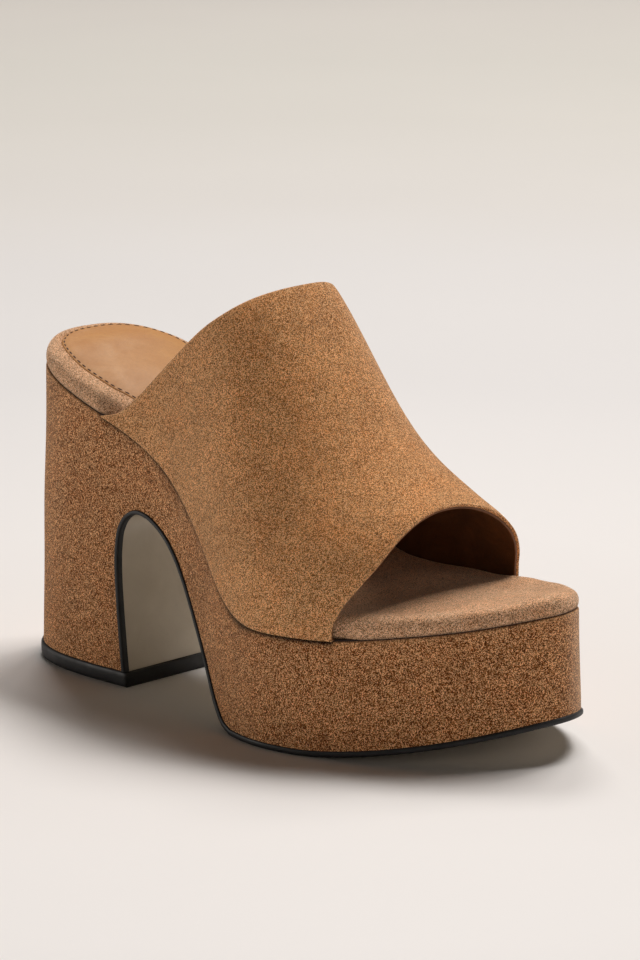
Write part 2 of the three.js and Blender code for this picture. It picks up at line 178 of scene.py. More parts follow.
def sole_z(x):
    x = np.asarray(x, float)
    return TOE_SPRING * (np.maximum(x - SPRING_START, 0) / (TOE_TIP - SPRING_START)) ** 1.7


ring = [(TOE_TIP, TIP_Y)] + [(x, -a) for x, a, b in reversed(OUTLINE)] + [(HEEL_BACK, 0)] + [(x, b) for x, a, b in OUTLINE]
fine_raw = resample(catmull(ring, True, 120), 6000, True)
fine = gauss(fine_raw, 2.6 / (620 / 6000), True)
tan = np.roll(fine, -3, 0) - np.roll(fine, 3, 0)
tan /= np.linalg.norm(tan, axis=1)[:, None]
nor = np.stack([tan[:, 1], -tan[:, 0]], 1)
if (nor * (fine - fine.mean(0))).sum() < 0:
    nor = -nor
i_tip, i_heel = int(fine[:, 0].argmax()), int(fine[:, 0].argmin())
X0, X1 = float(fine[i_heel, 0]), float(fine[i_tip, 0])


def half(a, b):
    idx = [a]
    while idx[-1] != b:
        idx.append((idx[-1] + 1) % len(fine))
    return np.array(idx)


first, second = half(i_heel, i_tip), half(i_tip, i_heel)[::-1]
if fine[first, 1].mean() < fine[second, 1].mean():
    SIDES = {"lat": first, "med": second}
else:
    SIDES = {"lat": second, "med": first}
BR = {k: (np.maximum.accumulate(fine[i, 0]) + np.arange(len(i)) * 1e-9, fine[i, 1], nor[i, 0], nor[i, 1]) for k, i in SIDES.items()}


def rim(side, x):
    bx, by, nx, ny = BR[side]
    x = np.clip(x, X0, X1)
    a, b = np.interp(x, bx, nx), np.interp(x, bx, ny)
    l = np.hypot(a, b)
    return x, np.interp(x, bx, by), a / l, b / l


def edge(side, x, out):
    rx, ry, nx, ny = rim(side, x)
    return rx + nx * out, ry + ny * out


def flare(x, z):
    return flare_x(x) * np.clip((seam_z(x) - z) / (seam_z(x) - sole_z(x)), 0, 1)


def stations(x0, x1, n, start, end):
    t = np.arange(n + 1) / n
    if start and end:
        t = (1 - np.cos(np.pi * t)) / 2
    elif end:
        t = np.sin(np.pi / 2 * t)
    elif start:
        t = 1 - np.cos(np.pi / 2 * t)
    return x0 + (x1 - x0) * t


VT = [(i / 7,) + r for i, r in enumerate(VAMP)]
vamp_col = [softened(column(VT, k), 0, 1, 0.045) for k in range(1, 7)]


def bed_inset(side, x):
    a, b = (113, 121) if side == "lat" else (120.5, 128)
    return 1.35 * smooth(-14, -5, x) * (1 - smooth(a, b, x)) + 0.15


def bed_height(x):
    return BED_T - GAP - BED_TOE_DROP * smooth(116, 140, x)


def bed_crown(x):
    return 2.6 * (1 - smooth(-30, 30, x)) + 1.2


def vamp_point(t, u):
    lat, med, tx, tz, ap, full = (c(t) for c in vamp_col)
    e = 2 / full
    th = np.pi * u
    s, c = np.maximum(np.sin(th), 0), np.cos(th)
    c = np.where(np.abs(c) < 1e-9, 0, c)
    rise, across = s ** e, np.sign(c) * np.abs(c) ** e
    is_lat = c > 0
    bx = np.where(is_lat, lat, med)
    mid = smooth(-0.02, 0.02, across)
    bow = bow_lat(rise) * mid + bow_med(rise) * (1 - mid)
    x = bx + (tx - bx) * rise + (1 - t) ** 3 * front_bow(rise)
    z = seam_z(bx) + GAP + (tz - seam_z(bx) - GAP) * rise + bow * t ** 1.4
    yl, ym = -rim("lat", x)[1], rim("med", x)[1]
    y = np.where(is_lat, ap - (yl + PROUD + ap) * across, ap - (ym + PROUD - ap) * across)
    return np.stack([x, y, z], -1)


# ------------------------------------------------------------------ row frame
lift_box, upper_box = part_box("top_lift"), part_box("upper")
_u = np.linspace(0, 1, 241)
_t = np.linspace(0, 1, 161)
_TT, _UU = np.meshgrid(_t, _u, indexing="ij")
_V = vamp_point(_TT, _UU)
SX = lift_box[0][0] / MM - (X0 - flare_x(X0) * (seam_z(X0) - 3) / seam_z(X0) - 0.8)
SY = (upper_box[0][1] + upper_box[1][1]) / 2 / MM - (_V[..., 1].min() + _V[..., 1].max()) / 2


def world(p):
    p = np.asarray(p, float)
    return (p + np.array([SX, SY, 0.0])) * MM


# ------------------------------------------------------------------ mesh helpers
def mesh_object(name, verts, faces, weld=2e-6):
    me = bpy.data.meshes.new(name)
    me.from_pydata([tuple(v) for v in verts], [], faces)
    bm = bmesh.new()
    bm.from_mesh(me)
    bmesh.ops.remove_doubles(bm, verts=bm.verts, dist=weld)
    bmesh.ops.dissolve_degenerate(bm, edges=bm.edges, dist=1e-7)
    bmesh.ops.recalc_face_normals(bm, faces=bm.faces)
    for f in bm.faces:
        f.smooth = True
    bm.to_mesh(me)
    bm.free()
    ob = bpy.data.objects.new(name, me)
    bpy.context.scene.collection.objects.link(ob)
    return ob


def ring_loft(name, R, caps=True, weld=2e-6):
    """R: (stations, ring, 3) in millimetres; the ring is closed."""
    n, m = R.shape[:2]
    faces = []
    idx = np.arange(n * m).reshape(n, m)
    a, b = idx[:-1], idx[1:]
    quads = np.stack([a, np.roll(a, -1, 1), np.roll(b, -1, 1), b], -1).reshape(-1, 4)
    faces = quads.tolist()
    if caps:
        h = m // 2
        for base in (0, (n - 1) * m):
            for j in range(h - 1):
                faces.append([base + j, base + j + 1, base + m - 2 - j, base + m - 1 - j])
    return mesh_object(name, world(R.reshape(-1, 3)), faces, weld)


def sharp(ob, deg=38):
    ob.data.set_sharp_from_angle(angle=math.radians(deg))


def applied(ob):
    dg = bpy.context.evaluated_depsgraph_get()
    me = bpy.data.meshes.new_from_object(ob.evaluated_get(dg))
    old = ob.data
    ob.modifiers.clear()
    ob.data = me
    me.name = ob.name
    bpy.data.meshes.remove(old)


def set_attr(ob, name, values):
    at = ob.data.attributes.new(name, "FLOAT", "POINT")
    at.data.foreach_set("value", np.asarray(values, np.float32))


def coords(ob):
    co = np.empty(len(ob.data.vertices) * 3)
    ob.data.vertices.foreach_get("co", co)
    return co.reshape(-1, 3) / MM - np.array([SX, SY, 0.0])


def move(ob, co):
    ob.data.vertices.foreach_set("co", world(co).reshape(-1))
    ob.data.update()


def normals(ob):
    n = np.empty(len(ob.data.vertices) * 3)
    ob.data.vertices.foreach_get("normal", n)
    return n.reshape(-1, 3)


# ------------------------------------------------------------------ materials
class Mat:
    def __init__(self, name):
        self.m = bpy.data.materials.new(name)
        self.m.use_nodes = True
        self.t = self.m.node_tree
        self.t.nodes.clear()
        self.out = self.t.nodes.new("ShaderNodeOutputMaterial")
        self.b = self.t.nodes.new("ShaderNodeBsdfPrincipled")
        self.link(self.b.outputs[0], self.out.inputs["Surface"])
        tc = self.t.nodes.new("ShaderNodeTexCoord")
        mp = self.t.nodes.new("ShaderNodeMapping")
        mp.inputs["Scale"].default_value = (1000, 1000, 1000)
        self.link(tc.outputs["Object"], mp.inputs["Vector"])
        self.v = mp.outputs["Vector"]

    def link(self, a, b):
        self.t.links.new(a, b)

    def node(self, kind, **kw):
        n = self.t.nodes.new(kind)
        for k, v in kw.items():
            setattr(n, k, v)
        return n

    def noise(self, scale, detail=2.0, rough=0.5, dist=0.0, vec=None):
        n = self.node("ShaderNodeTexNoise")
        n.inputs["Scale"].default_value = scale
        n.inputs["Detail"].default_value = detail
        n.inputs["Roughness"].default_value = rough
        n.inputs["Distortion"].default_value = dist
        self.link(vec or self.v, n.inputs["Vector"])
        return n.outputs["Fac"]

    def ramp(self, fac, stops, interp="LINEAR"):
        n = self.node("ShaderNodeValToRGB")
        n.color_ramp.interpolation = interp
        els = n.color_ramp.elements
        while len(els) < len(stops):
            els.new(0.5)
        for e, (p, c) in zip(els, stops):
            e.position = p
            e.color = (c, c, c, 1) if isinstance(c, (int, float)) else (*c, 1)
        self.link(fac, n.inputs["Fac"])
        return n.outputs["Color"]

    def mix(self, fac, a, b, mode="MIX"):
        n = self.node("ShaderNodeMix", data_type="RGBA", blend_type=mode)
        for sock, v in ((n.inputs[0], fac), (n.inputs[6], a), (n.inputs[7], b)):
            if isinstance(v, (int, float)):
                sock.default_value = v
            elif isinstance(v, tuple):
                sock.default_value = (*v, 1)
            else:
                self.link(v, sock)
        return n.outputs[2]

    def math(self, op, a, b=0.0, c=None, clamp=False):
        n = self.node("ShaderNodeMath", operation=op, use_clamp=clamp)
        for sock, v in zip(n.inputs, (a, b) if c is None else (a, b, c)):
            if isinstance(v, (int, float)):
                sock.default_value = v
            else:
                self.link(v, sock)
        return n.outputs[0]

    def attr(self, name):
        n = self.node("ShaderNodeAttribute", attribute_name=name, attribute_type="GEOMETRY")
        return n.outputs["Fac"]

    def bump(self, height, strength, dist, normal=None):
        n = self.node("ShaderNodeBump")
        n.inputs["Strength"].default_value = strength
        n.inputs["Distance"].default_value = dist
        self.link(height, n.inputs["Height"])
        if normal is not None:
            self.link(normal, n.inputs["Normal"])
        return n.outputs["Normal"]

    def put(self, **kw):
        for k, v in kw.items():
            s = self.b.inputs[k.replace("_", " ")]
            if isinstance(v, (int, float)):
                s.default_value = v
            elif isinstance(v, tuple):
                s.default_value = (*v, 1) if len(v) == 3 and s.type == "RGBA" else v
            else:
                self.link(v, s)


def stretched(M, sx, sy, sz, rot=(0, 0, 0)):
    mp = M.node("ShaderNodeMapping")
    mp.inputs["Scale"].default_value = (sx, sy, sz)
    mp.inputs["Rotation"].default_value = rot
    M.link(M.v, mp.inputs["Vector"])
    return mp.outputs["Vector"]


def cells(M, scale, vec=None):
    """One random grey for each little cell of nap."""
    n = M.node("ShaderNodeTexVoronoi", feature="F1")
    n.inputs["Scale"].default_value = scale
    M.link(vec or M.v, n.inputs["Vector"])
    sp = M.node("ShaderNodeSeparateColor")
    M.link(n.outputs["Color"], sp.inputs[0])
    return sp.outputs[0]


def suede(name, mid, light, grain=1.0, edge_attr=True, shade=1.0, warm_amt=0.25, painted_shade_attr=False):
    """Napped split: fine fibre speckle with sparse pale tufts and dark gaps, faint nap blotches, pale fuzz with a
    painted highlight on turned edges, and painted shade from a per-vertex mask.
    """
    M = Mat(name)
    c1 = cells(M, 4.3 * grain)
    c2 = cells(M, 3.1 * grain, stretched(M, 1.5, 0.9, 1.0, (0.4, 0.7, 0.8)))
    n1 = M.noise(3.0 * grain, 2.0, 0.7)
    n2 = M.noise(0.8 * grain, 2.0, 0.6, 0.4)
    speck = M.math("ADD", M.math("MULTIPLY", c1, 0.40), M.math("MULTIPLY", c2, 0.42))
    speck = M.math("ADD", speck, M.math("MULTIPLY", n1, 0.14))
    speck = M.math("ADD", speck, M.math("MULTIPLY", n2, 0.04))
    # painted nap shadow: the speckle contrast is raised on steep faces, where the light grazes
    k = M.math("ADD", M.math("MULTIPLY", M.attr("nap"), 0.85), 1.55)
    speck = M.math("ADD", M.math("MULTIPLY", M.math("SUBTRACT", speck, 0.5), k), 0.5)
    col = M.ramp(speck, [(0.15, tuple(c * 0.20 for c in mid)), (0.42, tuple(c * 0.55 for c in mid)), (0.57, mid),
                         (0.72, tuple((a + b) / 2 for a, b in zip(mid, light))), (0.88, light)])
    blot = M.noise(0.045, 3.0, 0.55, 0.8)
    blot2 = M.noise(0.20, 2.0, 0.5, 0.4)
    nap = M.math("ADD", M.math("MULTIPLY", blot, 0.6), M.math("MULTIPLY", blot2, 0.4))
    k = M.ramp(nap, [(0.34, 0.86 * shade), (0.5, 1.0 * shade), (0.66, 1.12 * shade)])
    col = M.mix(1.0, col, k, "MULTIPLY")
    warm = M.ramp(M.noise(0.07, 2.0, 0.5, 1.0), [(0.42, 0.0), (0.68, warm_amt)])
    col = M.mix(warm, col, M.mix(1.0, col, (1.12, 0.90, 0.74), "MULTIPLY"), "MIX")
    if edge_attr:
        # pale fuzz on turned edges, partly a painted highlight
        e = M.attr("edge")
        ef = M.math("MULTIPLY", e, M.ramp(c2, [(0.1, 0.45), (0.8, 1.0)]), clamp=True)
        col = M.mix(M.math("MULTIPLY", ef, 0.34), col, light)
    if painted_shade_attr:
        # painted shade: the colour is darkened by a per-vertex mask (under the vamp's foot, along the seam groove)
        low = M.math("SUBTRACT", 1.0, M.attr("painted_shade"), clamp=True)
        col = M.mix(1.0, col, low, "MULTIPLY")
    M.put(Base_Color=col, Roughness=0.95, Specular_IOR_Level=0.08, Sheen_Weight=0.6, Sheen_Roughness=0.34,
          Sheen_Tint=(0.95, 0.78, 0.62))
    b1 = M.bump(M.math("ADD", n1, M.math("MULTIPLY", c1, 0.45)), 0.95, 0.00026)
    b2 = M.bump(nap, 0.3, 0.0010, b1)
    M.link(b2, M.b.inputs["Normal"])
    return M.m


def leather(name, base, dark, rough=0.46, worn=0.0, dark_edge=False, coat=0.06):
    M = Mat(name)
    tone = M.noise(0.07, 4.0, 0.6, 0.5)
    fine_n = M.noise(0.8, 3.0, 0.6, 0.3)
    col = M.mix(M.ramp(tone, [(0.32, 0.0), (0.7, 1.0)]), dark, base)
    col = M.mix(M.ramp(fine_n, [(0.35, 0.16), (0.6, 0.0)]), col, tuple(c * 0.6 for c in dark))
    if worn:
        spots = M.ramp(M.noise(0.33, 2.0, 0.5, 1.5), [(0.7, 0.0), (0.76, worn)])
        col = M.mix(spots, col, tuple(c * 0.5 for c in dark))
    if dark_edge:
        col = M.mix(M.math("MULTIPLY", M.attr("edge"), 0.5, clamp=True), col, tuple(c * 0.5 for c in dark))
    vor = M.node("ShaderNodeTexVoronoi", feature="DISTANCE_TO_EDGE")
    vor.inputs["Scale"].default_value = 1.7
    vor.inputs["Randomness"].default_value = 1.0
    M.link(M.v, vor.inputs["Vector"])
    pores = M.ramp(vor.outputs["Distance"], [(0.0, 0.0), (0.12, 1.0)])
    M.put(Base_Color=col, Roughness=M.ramp(tone, [(0.3, rough + 0.08), (0.7, rough - 0.05)]), Specular_IOR_Level=0.4,
          Coat_Weight=coat, Coat_Roughness=0.35)
    n1 = M.bump(pores, 0.22, 0.00010)
    n2 = M.bump(tone, 0.3, 0.0008, n1)
    M.link(n2, M.b.inputs["Normal"])
    return M.m


def rubber(name, base, rough=0.5):
    M = Mat(name)
    fine_n = M.noise(3.2, 2.0, 0.5)
    tone = M.noise(0.12, 3.0, 0.5)
    col = M.mix(M.ramp(tone, [(0.35, 0.0), (0.7, 1.0)]), tuple(c * 0.72 for c in base), tuple(c * 1.35 for c in base))
    dust = M.ramp(M.noise(0.5, 4.0, 0.7, 1.0), [(0.6, 0.0), (0.8, 0.22)])
    col = M.mix(dust, col, (0.035, 0.031, 0.027))
    M.put(Base_Color=col, Roughness=M.ramp(tone, [(0.3, rough + 0.1), (0.7, rough - 0.08)]), Specular_IOR_Level=0.45)
    M.link(M.bump(fine_n, 0.3, 0.00008), M.b.inputs["Normal"])
    return M.m


def pale_sole(name):
    """Smooth pale rubber sheet with a fine pebble."""
    M = Mat(name)
    vor = M.node("ShaderNodeTexVoronoi", feature="SMOOTH_F1")
    vor.inputs["Scale"].default_value = 1.1
    M.link(M.v, vor.inputs["Vector"])
    tone = M.noise(0.05, 3.0, 0.5, 0.3)
    col = M.mix(M.ramp(tone, [(0.35, 0.0), (0.7, 1.0)]), (0.50, 0.43, 0.33), (0.60, 0.53, 0.42))
    scuff = M.ramp(M.noise(0.35, 3.0, 0.6, 0.5, vec=stretched(M, 0.25, 2.4, 1.0)), [(0.62, 0.0), (0.72, 0.16)])
    col = M.mix(scuff, col, (0.33, 0.28, 0.22))
    M.put(Base_Color=col, Roughness=M.ramp(tone, [(0.3, 0.42), (0.7, 0.30)]), Specular_IOR_Level=0.5)
    M.link(M.bump(vor.outputs["Distance"], 0.18, 0.00012), M.b.inputs["Normal"])
    return M.m


def thread(name, base):
    M = Mat(name)
    w = M.node("ShaderNodeTexWave", wave_type="BANDS", bands_direction="DIAGONAL")
    w.inputs["Scale"].default_value = 1.3
    w.inputs["Distortion"].default_value = 1.0
    M.link(M.v, w.inputs["Vector"])
    col = M.mix(w.outputs["Fac"], tuple(c * 0.55 for c in base), base)
    M.put(Base_Color=col, Roughness=0.7, Specular_IOR_Level=0.3)
    M.link(M.bump(w.outputs["Fac"], 0.4, 0.0001), M.b.inputs["Normal"])
    return M.m


# one suede in three palettes: the wrap's darker one is painted shade on the steep walls, the bed's paler one painted
# light and sheen on the lit top
m_vamp = suede("suede_vamp", (0.862, 0.37, 0.121), (1.0, 0.6, 0.31), painted_shade_attr=True)
m_wrap_painted_shade = suede("suede_wrap", (0.445, 0.141, 0.034), (1.0, 0.58, 0.29), grain=0.95, painted_shade_attr=True)
m_bed_painted_light = suede("suede_bed_painted_light", (1.0, 0.524, 0.264), (1.0, 0.68, 0.45), grain=1.1, painted_shade_attr=True)
# the tan lining leather, darkened as painted shade of the dim inside of the shoe
m_lining_painted_shade = leather("tan_lining_painted_shade", (0.215, 0.088, 0.032), (0.125, 0.052, 0.021), 0.55, coat=0.0)
m_sock = leather("tan_sock", (0.50, 0.225, 0.050), (0.43, 0.175, 0.036), 0.55, dark_edge=True, coat=0.0)
m_black = rubber("black_rubber", (0.0055, 0.0055, 0.0065), 0.55)
m_lift = rubber("black_lift", (0.0050, 0.0052, 0.0062), 0.5)
m_pale = pale_sole("pale_sole")
m_thread = thread("dark_thread", (0.10, 0.045, 0.020))
# dark strip that stands for the shadow in the groove between footbed and unit
m_groove_shadow = thread("groove_painted_shadow", (0.030, 0.014, 0.007))

# ------------------------------------------------------------------ wrapped heel and platform unit
arch = resample(catmull(ARCH, False, 40), 260)


def inward(p):
    d = np.gradient(p, axis=0)
    d /= np.linalg.norm(d, axis=1)[:, None]
    return np.stack([-d[:, 1], d[:, 0]], 1)


def sheet_t(x):
    return SHEET_T + (OUTSOLE_T - SHEET_T) * smooth(44, 69, x)


def build_unit():
    n1, n2 = ((110, 330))
    xs = np.concatenate([stations(X0, 0, n1, True, False), stations(0, X1, n2, False, True)[1:]])
    round_r, near = 0.6, 5.0
    rows_f = [(f, 0.0, 0.0) for f in np.linspace(0, 0.98, 34)]
    rows_f += [(1.0, -d, 0.0) for d in (near, 4.0, 3.2, 2.5, 1.9, 1.4, 1.0)]
    for a in np.linspace(0, math.pi / 2, 5):
        rows_f.append((1.0, -round_r * (1 - math.sin(a)), -round_r * (1 - math.cos(a))))
    rows_f.append((1.0, 0.0, -4.0))
    zb = np.where(xs < 12, LIFT_H, sole_z(xs) + OUTSOLE_T)
    zt = seam_z(xs)
    lat, med = [], []
    for f, dz, inset in rows_f:
        z = zb + (zt - near - zb) * f if f < 1 else zt + dz
        for side, store in (("lat", lat), ("med", med)):
            ex, ey = edge(side, xs, flare(xs, z) + inset)
            store.append(np.stack([ex, ey, z], -1))
    R = np.stack(lat + med[::-1], 1)
    ob = ring_loft("suede_unit", R)
    nn = inward(arch)
    line = arch + nn * (sheet_t(arch[:, 0]) + 0.02)[:, None]
    poly = np.concatenate([[[line[0, 0], -30]], line, [[line[-1, 0] + 4, line[-1, 1]], [line[-1, 0] + 4, -30]]])
    k = len(poly)
    vs = np.concatenate([np.stack([poly[:, 0], np.full(k, y), poly[:, 1]], 1) for y in (-80, 80)])
    faces = [list(range(k)), list(range(2 * k - 1, k - 1, -1))] + [[i, (i + 1) % k, k + (i + 1) % k, k + i] for i in range(k)]
    cutter = mesh_object("cutter", world(vs), faces)
    md = ob.modifiers.new("cut", "BOOLEAN")
    md.operation, md.solver, md.object = "DIFFERENCE", "EXACT", cutter
    applied(ob)
    bpy.data.objects.remove(cutter)
    for p in ob.data.polygons:
        p.use_smooth = True
    # gentle unevenness of the wrap over the moulded unit
    co, no = coords(ob), normals(ob)
    x, y, z = co.T
    w = (0.16 * np.sin(x * 0.055 + 0.6) * np.sin(z * 0.07 + 1.1) + 0.10 * np.sin(x * 0.11 + y * 0.05 + 2.0) * np.sin(z * 0.13))
    keep = smooth(1.5, 6, seam_z(x) - z) * smooth(0.5, 4, z - np.where(x < 2, LIFT_H, sole_z(x) + OUTSOLE_T))
    side = np.clip(np.abs(no[:, 1]) + np.clip(-no[:, 0], 0, 1) * (x < -40) + np.clip(no[:, 0], 0, 1) * (x > 120), 0, 1)
    move(ob, co + no * (w * keep * side)[:, None])
    d = np.maximum(seam_z(x) - z, 0)
    lat = y < 6
    under = np.where(lat, smooth(-14.5, -11, x) * (1 - smooth(111, 112.6, x)), smooth(-6.5, -3, x) * (1 - smooth(115, 116.6, x)))
    # pale fuzz on the wall's top rim, partly a painted highlight along it
    set_attr(ob, "edge", 0.8 * np.exp(-np.maximum(d - 0.2, 0) / 0.9) * (1 - under) * (np.abs(no[:, 2]) < 0.95))
    # painted shade: a dark band below the vamp's foot and a thin dark line at the groove under the footbed
    wide = 1.3 + 1.5 * smooth(8, 26, x) * (1 - smooth(66, 86, x))
    set_attr(ob, "nap", 1 - smooth(0.25, 0.65, no[:, 2]))
    set_attr(ob, "painted_shade", np.clip(under * (0.97 * np.exp(-(d / wide) ** 2) + 0.30 * np.exp(-d / 3.0)) + 0.25 * np.exp(-d / 0.5) * (1 - under), 0, 0.93))
    sharp(ob, 42)
    ob.data.materials.clear()
    ob.data.materials.append(m_wrap_painted_shade)
    return ob


# ------------------------------------------------------------------ outsole sheet
def build_outsole():
    fore = stations(68, X1, 130, False, True)[1:]
    under = np.concatenate([arch, np.stack([fore, sole_z(fore)], 1)])
    nn = inward(under)
    t = sheet_t(under[:, 0])
    na = len(arch)

    def at(depth, out):
        """Strip edge points at a depth into the sheet (0 under, 1 over) and an outward move."""
        q = under + nn * (t * depth)[:, None]
        q[0] = [under[0, 0] - t[0] * depth, under[0, 1]]
        xs = q[:, 0].copy()
        xs[na:] = under[na:, 0]
        f = flare(xs, q[:, 1]) + OUT_PROUD + out
        res = []
        for side in ("lat", "med"):
            ex, ey = edge(side, xs, f)
            res.append(np.stack([ex, ey, q[:, 1]], -1))
        return res

    prof = [(0.10, -2.6), (0.0, -2.5), (0.0, -1.0), (0.05, -0.35), (0.2, -0.06), (0.45, 0.02), (0.75, 0.0), (0.93, -0.12), (1.0, -0.45), (1.0, -3.0)]
    lat, med = [], []
    for d, o in prof:
        a, b = at(d, o)
        lat.append(a)
        med.append(b)
    ob = ring_loft("outsole_edge", np.stack(lat + med[::-1], 1))
    sharp(ob, 50)
    ob.data.materials.append(m_black)
    xs_keep = slice(0, len(under) - 1)
    low, top = [], []
    for d, store in ((0.0, low), (0.35, top)):
        store.extend(at(d, -2.55))
    cols = 14
    A = np.stack([low[0] + (low[1] - low[0]) * f for f in np.linspace(0, 1, cols)], 1)[xs_keep]
    B = np.stack([top[1] + (top[0] - top[1]) * f for f in np.linspace(0, 1, cols)], 1)[xs_keep]
    skin = ring_loft("outsole_under", np.concatenate([A, B], 1))
    sharp(skin, 50)
    skin.data.materials.append(m_pale)
    return ob, skin


# ------------------------------------------------------------------ heel top lift
def build_lift():
    prof = [(0.0, -0.5), (0.0, 0.05), (0.25, 0.42), (0.8, 0.70), (1.8, 0.82), (3.6, 0.86), (4.8, 0.80), (5.25, 0.55), (LIFT_H, 0.1), (LIFT_H, -3.0)]
    xs = stations(X0, 0.9, 60, True, False)
    lat, med = [], []
    for z, o in prof:
        for side, store in (("lat", lat), ("med", med)):
            f = flare(xs, 3.0) + o
            ex, ey = edge(side, xs, f)
            store.append(np.stack([ex, ey, np.full_like(ex, z)], -1))
    R = np.stack(lat + med[::-1], 1)
    # softened front corner: last rings shrink towards their middle height
    last = R[-1]
    c = last.mean(0)
    extra = []
    for dx, k in ((0.25, 0.6), (0.45, 1.6)):
        r = last.copy()
        r[:, 0] += dx
        r[:, 1] = c[1] + (r[:, 1] - c[1]) * (1 - 0.35 * k / 34)
        r[:, 2] = np.clip(r[:, 2], 0.12 * k, LIFT_H - 0.12 * k)
        extra.append(r)
    ob = ring_loft("heel_top_lift", np.concatenate([R, np.stack(extra)]))
    sharp(ob, 45)
    ob.data.materials.append(m_lift)
    return ob


# ------------------------------------------------------------------ footbed, sock, stitches
bed_up = [e[1] for e in BED_EDGE]
_s_prof = np.linspace(0, 1, 22)
_keys = np.concatenate([[0], np.cumsum(np.hypot(np.diff([e[0] for e in BED_EDGE]), np.diff([e[1] * BED_T for e in BED_EDGE])))])
_keys /= _keys[-1]
_prof_out = gauss(np.interp(np.linspace(0, 1, 400), _keys, [e[0] for e in BED_EDGE]), 22)
_prof_up = gauss(np.interp(np.linspace(0, 1, 400), _keys, [e[1] for e in BED_EDGE]), 22)


def bed_edge_point(side, x, s):
    o = np.interp(s, np.linspace(0, 1, 400), _prof_out) - bed_inset(side, x)
    up = np.interp(s, np.linspace(0, 1, 400), _prof_up)
    ex, ey = edge(side, x, o)
    z = seam_z(ex) + GAP + up * bed_height(x)
    # the rim swells a little between its pulls
    z = z + 0.22 * up * np.sin(x * 0.21 + (1.3 if side == "lat" else 0.2)) * np.sin(x * 0.067 + 0.4)
    return np.stack([ex, ey, z], -1)


def bed_top(x, f):
    """Point on the top, f from the lateral shoulder (0) to the medial one (1)."""
    a, b = bed_edge_point("lat", x, 1.0), bed_edge_point("med", x, 1.0)
    p = a + (b - a) * f
    width = np.minimum(1, np.abs(b[..., 1] - a[..., 1]) / 30)
    p[..., 2] += bed_crown(x) * 4 * f * (1 - f) * width * smooth(0, 26, x - X0)
    return p


SOCK_IN, SOCK_END = 5.6, 66.0
BED_TOP = []


def build_bed():
    xs = np.concatenate([stations(X0, 20, 90, True, False), stations(20, X1, 200, False, True)[1:]])
    lat = [bed_edge_point("lat", xs, s) for s in _s_prof]
    med = [bed_edge_point("med", xs, s) for s in _s_prof]
    nf = 34
    top = [bed_top(xs, f) for f in (np.arange(1, nf) / nf)]
    ob = ring_loft("footbed_padded", np.stack(lat + top + med[::-1], 1))
    co = coords(ob)
    x, y, z = co.T
    d = z - seam_z(x) - GAP
    # toe pad: the rim stands a touch above a shallow tray behind it
    yl, ym = rim("lat", x)[1], rim("med", x)[1]
    inner = np.minimum(np.minimum(y - yl, ym - y), (X1 - x) * 0.9)
    tray = smooth(5.0, 11.0, inner) * smooth(92, 112, x) * (d > 4)
    z = z - 0.55 * tray
    co[:, 2] = z
    BED_TOP.append(BVHTree.FromPolygons(co.tolist(), [tuple(f.vertices) for f in ob.data.polygons]))
    # bed pressed down under the sock leather
    off = np.minimum(inner, x - X0) - np.where(y < 0, bed_inset("lat", x), bed_inset("med", x))
    z = z - 1.0 * smooth(SOCK_IN + 0.5, SOCK_IN + 2.5, off) * (1 - smooth(SOCK_END - 7, SOCK_END - 3, x)) * (d > 4)
    co[:, 2] = z
    move(ob, co)
    # pale fuzz on the rim's shoulder, partly a painted highlight where the light falls
    set_attr(ob, "edge", 0.45 * smooth(4.4, 6.6, d) * (1 - smooth(2.5, 7.0, inner)) * smooth(0.0, 1.0, inner + 1))
    set_attr(ob, "nap", 1 - smooth(0.35, 0.8, normals(ob)[:, 2]))
    # painted shade: the rim darkens towards its foot in the groove
    groove_shade = np.clip(np.exp(-np.maximum(d, 0) / 0.55) * 0.75 * (inner < 3), 0, 0.9)
    # painted shade where the vamp's foot and lip lie against the rim
    foot = np.where(y < 6, smooth(-17, -12, x) * (1 - smooth(110.5, 112.5, x)), smooth(-9, -4, x) * (1 - smooth(114.5, 116.5, x)))
    set_attr(ob, "painted_shade", np.clip(groove_shade + 0.26 * foot * (1 - smooth(0.5, 3.0, inner)), 0, 0.92))
    sharp(ob, 60)
    ob.data.materials.append(m_bed_painted_light)
    return ob


